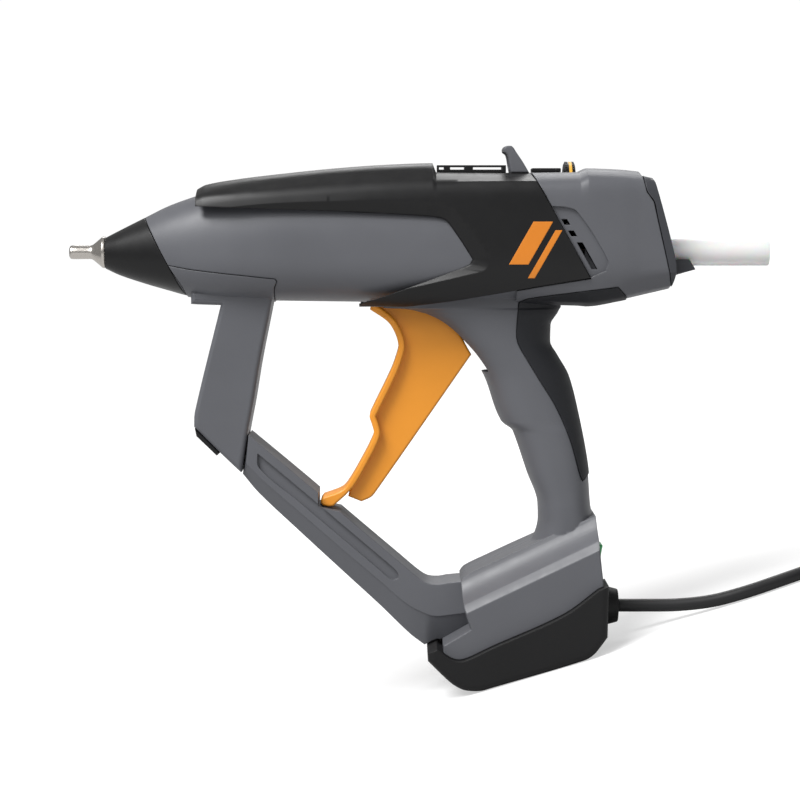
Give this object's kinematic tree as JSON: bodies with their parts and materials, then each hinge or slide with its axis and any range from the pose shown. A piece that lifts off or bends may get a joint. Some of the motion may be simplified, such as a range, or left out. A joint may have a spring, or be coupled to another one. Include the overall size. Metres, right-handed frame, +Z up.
{
  "type": "hot-melt glue gun",
  "caption": "Closed-handle hot-melt glue gun standing on its boot, with trigger, feed adjuster, rocker switch, glue stick and coiled mains cord.",
  "frame": {"origin": "centre of the flat face under the boot's foot", "axes": "+Z up with the foot flat; -X towards the nozzle; the barrel leans back 16.7 degrees, nozzle up; -Y is the left side"},
  "size_m": [0.3516, 0.1004, 0.2321],
  "materials": {
    "grey": "satin, fine grain",
    "black": "satin",
    "cap": "matte",
    "rubber": "matte",
    "orange": "satin",
    "light": "satin",
    "steel": "turned",
    "aluminium": "cast",
    "silicone": "matte",
    "glue": "milky",
    "green": "gloss",
    "board": "satin",
    "brass": "turned brass"
  },
  "bodies": {
    "gun_body": {"housing_left": "grey", "housing_right": "grey", "cover_left": "black", "cover_right": "black", "nose_cap": "black", "nozzle": "steel", "valve_spring": "steel", "melt_chamber": "aluminium", "heater_cartridge": "steel", "heater_strap": "steel", "inlet_sleeve": "silicone", "return_spring": "steel", "feed_guide": "cap", "trigger_pin": "steel", "rear_cap": "cap", "hanging_loop": "light", "top_rail": "black", "adjuster_window": "black", "grip_pad": "rubber", "front_bracket": "grey", "elbow_pad": "rubber", "lower_strut": "grey", "boot": "rubber", "strain_relief": "rubber", "switch_body": "black", "control_board": "board", "mains_terminal": "light", "screw_1": "steel", "screw_2": "steel", "screw_3": "steel", "screw_4": "steel", "screw_5": "steel", "screw_6": "steel", "cord": "rubber", "cord_coil": "rubber", "cord_tail": "rubber", "coil_tie": "black", "plug": "black", "plug_pin_1": "brass", "plug_pin_2": "brass"},
    "trigger_body": {"trigger": "orange"},
    "carriage": {"feed_carriage": "black", "clamp_jaw": "steel"},
    "stick": {"glue_stick": "glue"},
    "wheel": {"thumbwheel": "black", "adjuster_spindle": "brass"},
    "stop": {"stroke_stop": "black"},
    "rocker": {"switch_key": "green"},
    "valve": {"valve_ball": "steel"}
  },
  "joints": [
    {"name": "trigger_pull", "type": "hinge", "parent": "gun_body", "child": "trigger_body", "pos_m": [-0.01454, 0, 0.17204], "axis": [0, -1, 0], "range_deg": [0, 24], "stiffness_Nm_per_rad": 0.4, "springref_deg": -17.19},
    {"name": "carriage_slide", "type": "slide", "parent": "gun_body", "child": "carriage", "axis": [-0.958, 0, 0.2867], "range_m": [0, 0.0101], "deforming": ["return_spring"]},
    {"name": "stick_slide", "type": "slide", "parent": "gun_body", "child": "stick", "axis": [-0.958, 0, 0.2867], "range_m": [-0.12, 0.0115]},
    {"name": "wheel_turn", "type": "hinge", "parent": "gun_body", "child": "wheel", "pos_m": [0.06832, 0, 0.18628], "axis": [0.958, 0, -0.2867], "range_deg": [-150, 150]},
    {"name": "stop_slide", "type": "slide", "parent": "gun_body", "child": "stop", "axis": [0.958, 0, -0.2867], "range_m": [-0.00255, 0.00255]},
    {"name": "switch_rock", "type": "hinge", "parent": "gun_body", "child": "rocker", "pos_m": [0.03672, 0, 0.0329], "axis": [0, -1, 0], "range_deg": [0, 12]},
    {"name": "valve_lift", "type": "slide", "parent": "gun_body", "child": "valve", "axis": [-0.958, 0, 0.2867], "range_m": [0, 0.0012], "stiffness_N_per_m": 20, "springref_m": -0.001, "deforming": ["valve_spring"]}
  ],
  "couplings": [
    {"joint": "carriage_slide", "follows": "trigger_pull", "m_per_rad": 0.02385},
    {"joint": "stop_slide", "follows": "wheel_turn", "m_per_rad": 0.00095493}
  ]
}
